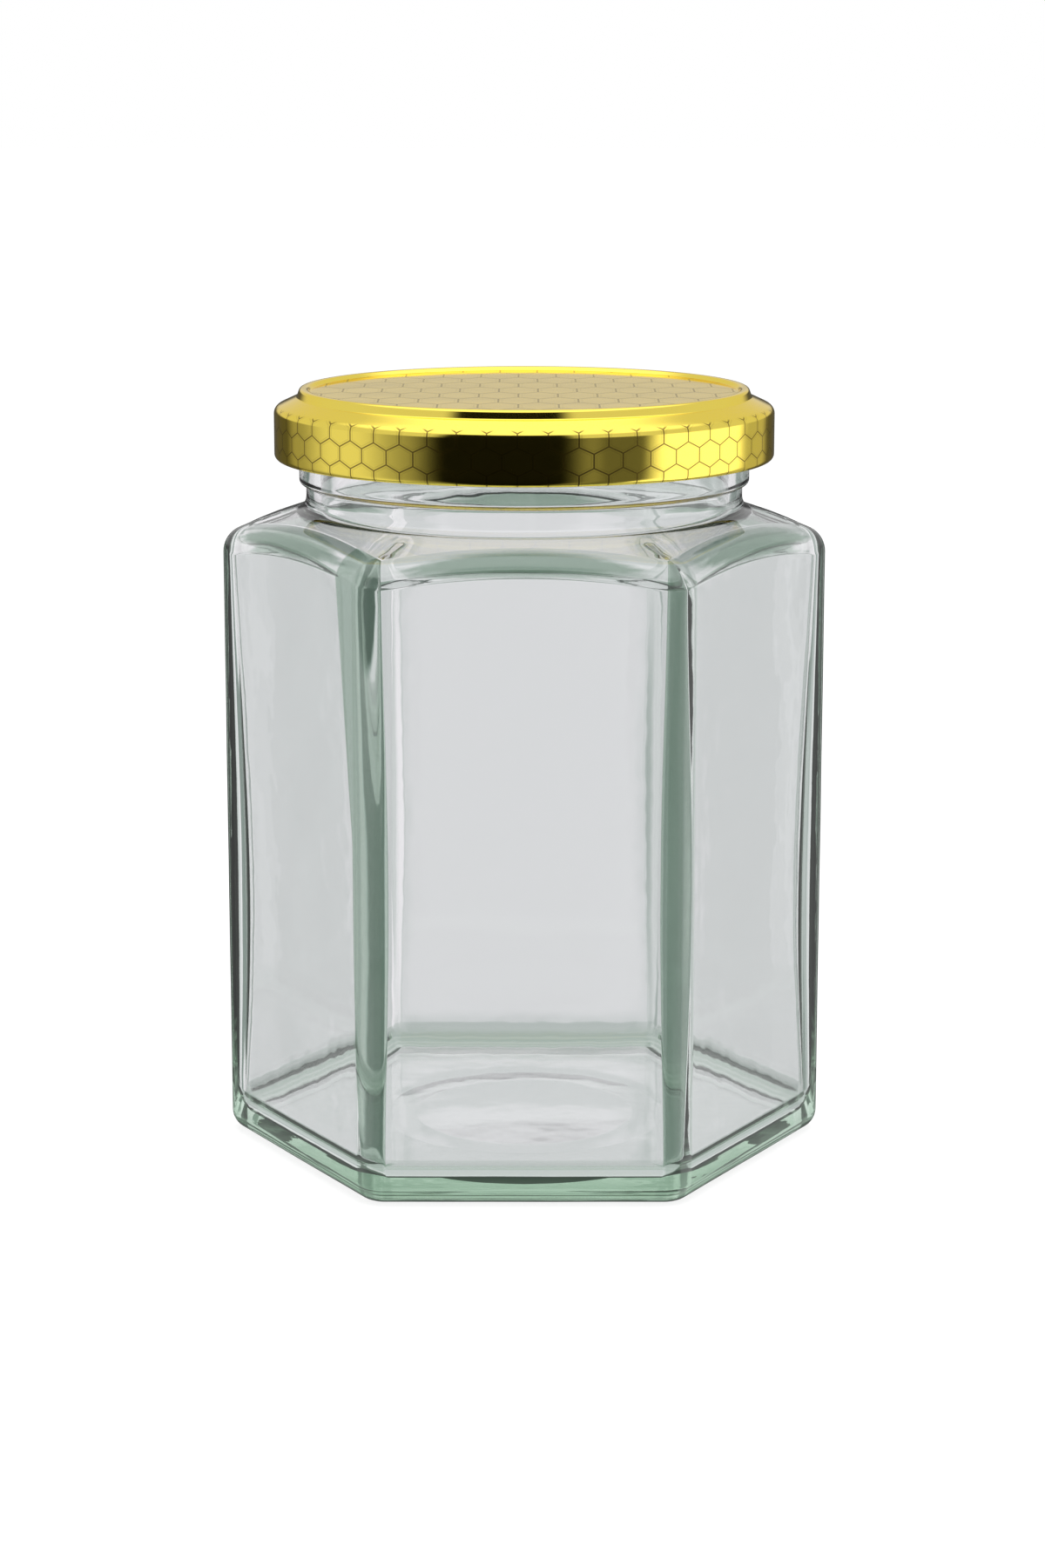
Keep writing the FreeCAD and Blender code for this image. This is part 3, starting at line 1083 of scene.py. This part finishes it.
def lid_material():
    material, tree = new_material("gold lacquered tinplate")
    place = make(tree, "ShaderNodeTexCoord", output="Object")
    printed = lid_print(place)
    uneven = noise(place, sags_per_metre) + noise(place, grains_per_metre, 2.0) * 0.04
    values = {"Strength": 0.12, "Distance": 0.4 * MM, "Height": uneven}
    bump = make(tree, "ShaderNodeBump", None, values)
    values = {"Base Color": blend_colours(printed * 0.92, GOLD, LINE), "Metallic": 1.0,
              "Roughness": 0.09 + printed * 0.15, "Specular Tint": EDGE_GOLD, "Coat Weight": 0.3,
              "Coat Roughness": 0.03, "Coat IOR": 1.5, "Normal": bump}
    finish_material(tree, make(tree, "ShaderNodeBsdfPrincipled", None, values))
    return material


gold_tinplate = lid_material()
print("lid material:", len(gold_tinplate.node_tree.nodes), "nodes")

# %% The lid


def spin(name, outline, material):
    """A round piece from a closed outline of radius and height."""
    stations = [ring(radius, height) for radius, height in outline]
    return loft(name, stations, material, even_turns=1.0)


lid = spin("lid_sheet", lid_outline, gold_tinplate)
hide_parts("lid")
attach(lid, "root")

# %% [markdown]
# ## Seal ring
# Inside the lid lies a ring of soft compound that the glass rim presses into.  It fills the
# channel under the raised ring, so its outline follows the sheet above and the rim below.  It is
# spun like the lid, from corners that run counterclockwise, so that its faces point outwards.

# %% Seal ring
seal_width = 2.2 * MM
seal_round = 0.12 * MM
seal_clearance = 0.02 * MM


def compound_material():
    material, tree = new_material("seal compound")
    mottle = noise(make(tree, "ShaderNodeTexCoord", output="Object"), 400.0, 2.0)
    colour = blend_colours(mottle, (0.70, 0.68, 0.60, 1), (0.80, 0.78, 0.71, 1))
    values = {"Base Color": colour, "Roughness": 0.55}
    finish_material(tree, make(tree, "ShaderNodeBsdfPrincipled", None, values))
    return material


under_panel = lid_top - lid_panel_drop - plate - seal_clearance
under_ridge = lid_top - plate - seal_clearance
seal_inner = ridge_outer - seal_width
seal_seat = rim_top + seal_clearance
seal_start = (seal_inner, (seal_seat + under_panel) / 2)
seal_corners = [seal_start, (seal_inner, seal_seat), (ridge_outer, seal_seat),
                (ridge_outer, under_ridge), (ridge_inner, under_ridge),
                (lid_panel_radius, under_panel), (seal_inner, under_panel), seal_start]
seal_radii = [0, *[seal_round] * (len(seal_corners) - 2), 0]
seal_outline = rounded_line(seal_corners, seal_radii, steps=4)
seal = spin("seal_ring", seal_outline, compound_material())
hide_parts("lid")
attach(seal, "root")

# %% [markdown]
# ## Lugs
# Four tabs of the rolled edge, the lugs, catch under the thread and pull the lid down.  A lug is
# a small bar bent along an arc: a rectangle with rounded corners that is swept along the arc.
# It is set down once for each start of the thread, by Instance on Points, so that all four stay
# alike and their number follows the thread.

# %% Lug tree
LUG_INPUTS = {
    "Lugs": "Int", "Arc": "Float", "Middle radius": "Float", "Width": "Float", "Thickness": "Float",
    "Edge round": "Float", "Height": "Float", "Finish": "Material",
}


def lug_bar(lugs):
    """One lug, as a bar along an arc on the side of +X."""
    tree, arc = lugs.tree, lugs.other("Arc")
    values = {"Resolution": 16, "Radius": lugs.other("Middle radius"), "Start Angle": arc * -0.5,
              "Sweep Angle": arc}
    path = make(tree, "GeometryNodeCurveArc", {"mode": "RADIUS"}, values, "Curve")
    values = {"Width": lugs.other("Width"), "Height": lugs.other("Thickness")}
    section = make(tree, "GeometryNodeCurvePrimitiveQuadrilateral", {"mode": "RECTANGLE"}, values, "Curve")
    values = {"Curve": section, "Count": 3, "Radius": lugs.other("Edge round")}
    section = make(tree, "GeometryNodeFilletCurve", {"mode": "POLY"}, values)
    values = {"Curve": path, "Profile Curve": section, "Fill Caps": True}
    return make(tree, "GeometryNodeCurveToMesh", None, values, "Mesh")


def lug_tree():
    """As many lugs as asked for, evenly round the axis."""
    tree, lugs = new_tree("lugs", LUG_INPUTS)
    start = vector_of(0.0, 0.0, lugs.other("Height"))
    values = {"Count": lugs, "Start Location": start, "Offset": (0.0, 0.0, 0.0)}
    places = make(tree, "GeometryNodeMeshLine", {"mode": "OFFSET"}, values)
    turn = make(tree, "GeometryNodeInputIndex") * (2 * math.pi / lugs)
    values = {"Points": places, "Instance": lug_bar(lugs), "Rotation": vector_of(0.0, 0.0, turn)}
    end_tree(make(tree, "GeometryNodeInstanceOnPoints", None, values), lugs.other("Finish"))
    return tree


# %% Lugs
lug_arc = math.radians(15)
lug_thickness = 1.0 * MM
lug_clearance = 0.5 * MM         # between a lug and the bead it passes
lug_gap = 0.15 * MM              # between a lug and the thread above it
lug_outer = lid_radius - curl_radius
lug_inner = bead_radius + lug_clearance
thread_dip = (finish_radius + thread_reach) * math.sin(lug_arc / 2) * math.sin(thread_lead)
lug_top = thread_middle - thread_half - thread_dip - lug_gap
lugs = new_object("lid_lugs", bpy.data.meshes.new("lid_lugs"))
apply_nodes(lugs, lug_tree(), {
    "Lugs": thread_starts, "Arc": lug_arc, "Middle radius": (lug_outer + lug_inner) / 2,
    "Width": lug_outer - lug_inner, "Thickness": lug_thickness, "Edge round": lug_thickness / 3,
    "Height": lug_top - lug_thickness / 2, "Finish": gold_tinplate,
})
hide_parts("lid")
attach(lugs, "root")
print("lugs:", len(lugs.data.polygons), "faces, top", round(lug_top / MM, 2), "mm")

# %% [markdown]
# ## Studio light
# Clear glass shows nothing but what is around it.  In a studio, pale walls and a few dark screens
# stand around it, and the screens draw the dark lines of its edges.  Real screens would
# throw shadows and show up behind the jar, so they are drawn into the world's light instead,
# which answers differently to a ray that went through glass, one that was mirrored, and one that
# lights a matt surface.  A direction is told by its turn around the jar in degrees, 0 towards +X
# and 90 towards +Y, and by its lift over the horizon in degrees.

# %% Screens and panels
PALE_WALL = 0.74
# each has the turn where it starts and ends, the softness of its edges and its brightness
SCREENS = (
    (105.5, 118, 2.0, 0.26), (99, 105, 2.0, 0.90), (118, 146, 2.5, 0.85), (66, 80, 3.0, 0.42),
    (55, 65, 2.0, 0.28), (40, 54, 2.0, 0.85), (150, 166, 2.0, 0.10), (16, 28, 3.0, 0.12),
    (-20, 12, 4.0, 0.80), (-31, -22, 2.0, 0.12), (-84, -60, 3.0, 0.10), (-160, -138, 3.0, 0.12),
    (-132, -86, 4.0, 0.30), (92.4, 98, 0.5, 0.67), (82, 87.6, 0.5, 0.67),
)
PANELS = (
    (-138, -62, 12, 0.005), (-58, -30, 6, 0.12), (-28, 30, 8, 1.5), (30, 55, 8, 0.5),
    (55, 136, 6, 0.10),
)


def hang(light, turn, sheets, where=None):
    """Sheets of another brightness in front of a light, everywhere or only where a mask says."""
    for start, end, soft, level in sheets:
        mask = between(turn, start, end, soft)
        light = blend(mask if where is None else mask * where, light, level)
    return light


def seen_through(turn, lift):
    """What shines through the glass: a pale, cool wall, brighter above, with low screens."""
    wall_light = PALE_WALL + 0.25 * ramp_up(lift, 5, 30) - 0.17 * ramp_up(-lift, 15, 18)
    ratio = hang(wall_light, turn, SCREENS, between(lift, -27, 28, 9)) / PALE_WALL
    return vector_of(0.795 * ratio ** 1.2, 0.785 * ratio, 0.815 * ratio ** 1.1)


def mirrored(turn, lift):
    """What lid and glass mirror: dark towards the front, bright to the right and above."""
    light = hang(0.34 + 0.44 * ramp_up(abs(turn), 145, 174), turn, PANELS)
    light = blend(ramp_up(lift, 1, 7) * (1 - between(turn, -130, -66, 6)), light, 0.72)
    light = blend(ramp_up(lift, 38, 52), light, 1.4)
    return vector_of(light, light, light)


print("studio:", len(SCREENS), "screens and", len(PANELS), "panels")

# %% World


def studio_world():
    world = bpy.data.worlds.new("studio")
    bpy.context.scene.world = world
    world.use_nodes = True
    tree = world.node_tree
    tree.nodes.clear()
    dx, dy, dz = xyz(make(tree, "ShaderNodeTexCoord", output="Generated"))
    turn = dy.math("ARCTAN2", dx).math("DEGREES")
    lift = dz.math("ARCSINE").math("DEGREES")

    sees = make(tree, "ShaderNodeLightPath", output="Is Camera Ray")
    light = blend_colours(sees.other("Is Glossy Ray"), (0.9, 0.9, 0.9, 1), mirrored(turn, lift))
    light = blend_colours(sees.other("Is Transmission Ray"), light, seen_through(turn, lift))
    light = blend_colours(sees, light, (1, 1, 1, 1))
    background = make(tree, "ShaderNodeBackground", None, {"Color": light, "Strength": 1.0})
    out = tree.nodes.new("ShaderNodeOutputWorld")
    tree.links.new(background.socket, out.inputs["Surface"])
    return world


studio = studio_world()
print("world:", len(studio.node_tree.nodes), "nodes")

# %% [markdown]
# ## Floor
# The jar stands on white paper.  Plain white paint would turn grey away from the light, so most
# of the floor's white comes from a glow, and the rest is matt and keeps the jar's soft shadow.
# It is hidden from glass and metal, and what they show from below is the world's light.

# %% Floor
floor_reach = 4.0
floor_height = -0.1 * MM
floor_glow = 0.75


def floor_material():
    material, tree = new_material("white floor")
    diffuse = make(tree, "ShaderNodeBsdfDiffuse", None, {"Color": (0.9, 0.9, 0.9, 1)})
    glow = make(tree, "ShaderNodeEmission", None, {"Color": (1, 1, 1, 1), "Strength": 1.1})
    finish_material(tree, make(tree, "ShaderNodeMixShader", None, (floor_glow, diffuse, glow)))
    return material


floor_mesh = bpy.data.meshes.new("floor")
signs = ((-1, -1), (1, -1), (1, 1), (-1, 1))
floor_corners = [(x * floor_reach, y * floor_reach, floor_height) for x, y in signs]
floor_mesh.from_pydata(floor_corners, [], [(0, 1, 2, 3)])
floor_mesh.materials.append(floor_material())
floor = new_object("floor", floor_mesh)
floor.visible_glossy = False
floor.visible_transmission = False
print("floor:", 2 * floor_reach, "m wide")

# %% [markdown]
# ## Lamp
# Most of the light comes from the world.  One broad lamp overhead adds the direction that a soft
# shadow under the jar needs.  It is hidden from glass and metal, where it would show as a square.

# %% Lamp
lamp_place = (0.1, -0.1, 0.9)
lamp_target = (0, 0, 0.05)
lamp_way = mathutils.Vector([end - start for start, end in zip(lamp_place, lamp_target)])
lamp_data = bpy.data.lights.new("overhead", "AREA")
lamp_data.shape = "RECTANGLE"
lamp_data.size = 0.8
lamp_data.size_y = 0.8
lamp_data.energy = 6
lamp = new_object("overhead", lamp_data)
lamp.location = lamp_place
lamp.rotation_euler = lamp_way.to_track_quat("-Z", "Y").to_euler()
lamp.visible_glossy = False
lamp.visible_transmission = False
lamp.visible_camera = False
print("lamp:", lamp_data.energy, "W,", lamp_place[2], "m up")

# %% [markdown]
# ## Camera
# The camera stands half a metre in front of the jar, a little above the lid, and looks down by
# twelve degrees.  From so near, the front panel looks clearly larger than the one behind it.

# %% Camera
camera_data = bpy.data.cameras.new("camera")
camera_data.lens = 84.4
camera_data.sensor_width = 36
camera_data.sensor_fit = "AUTO"
camera = new_object("camera", camera_data)
look_down = 0.206
camera.location = (-0.24 * MM, -509.4 * MM, 156.9 * MM)
camera.rotation_euler = (math.pi / 2 - look_down, 0, 0)
bpy.context.scene.camera = camera
bpy.context.scene.view_settings.view_transform = "Standard"
print(f"camera: {camera_data.lens:.1f} mm lens, {math.degrees(look_down):.1f} degrees down")

# %% [markdown]
# ## End
# The scene ends with the camera.
